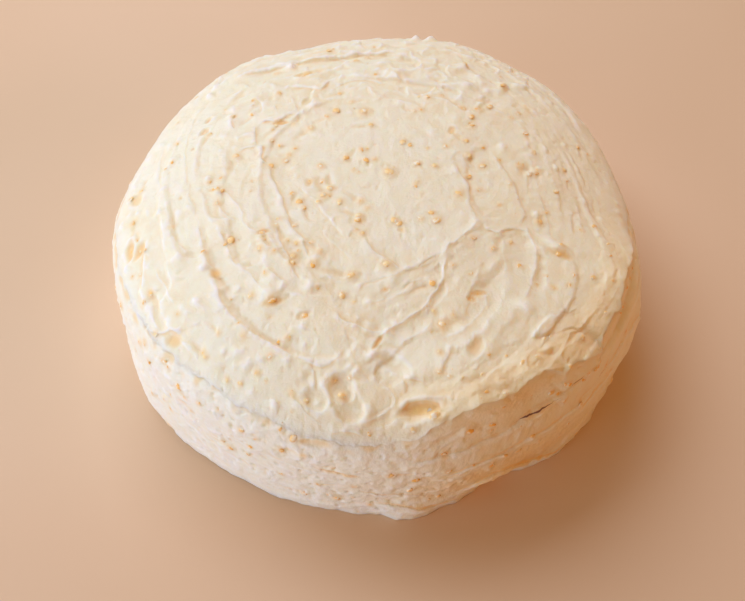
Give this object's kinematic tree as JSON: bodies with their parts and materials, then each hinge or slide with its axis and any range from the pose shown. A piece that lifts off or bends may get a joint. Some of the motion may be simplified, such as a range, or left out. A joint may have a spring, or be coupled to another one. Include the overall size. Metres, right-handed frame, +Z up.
{
  "type": "mimosa cake",
  "caption": "Round low cake with a domed top, coated all over in fruit cream spread with a palette knife, its top coat hanging over the side as a lip.",
  "frame": {"origin": "middle of the flat base the cake stands on", "axes": "+Z up out of the top, -Y towards the lowest stretch of the lip, +X to the right of it"},
  "size_m": [0.2432, 0.2486, 0.0868],
  "materials": {
    "cream": "satin",
    "fruit_bits": "satin"
  },
  "bodies": {
    "root": {"cake": "cream"}
  },
  "joints": []
}
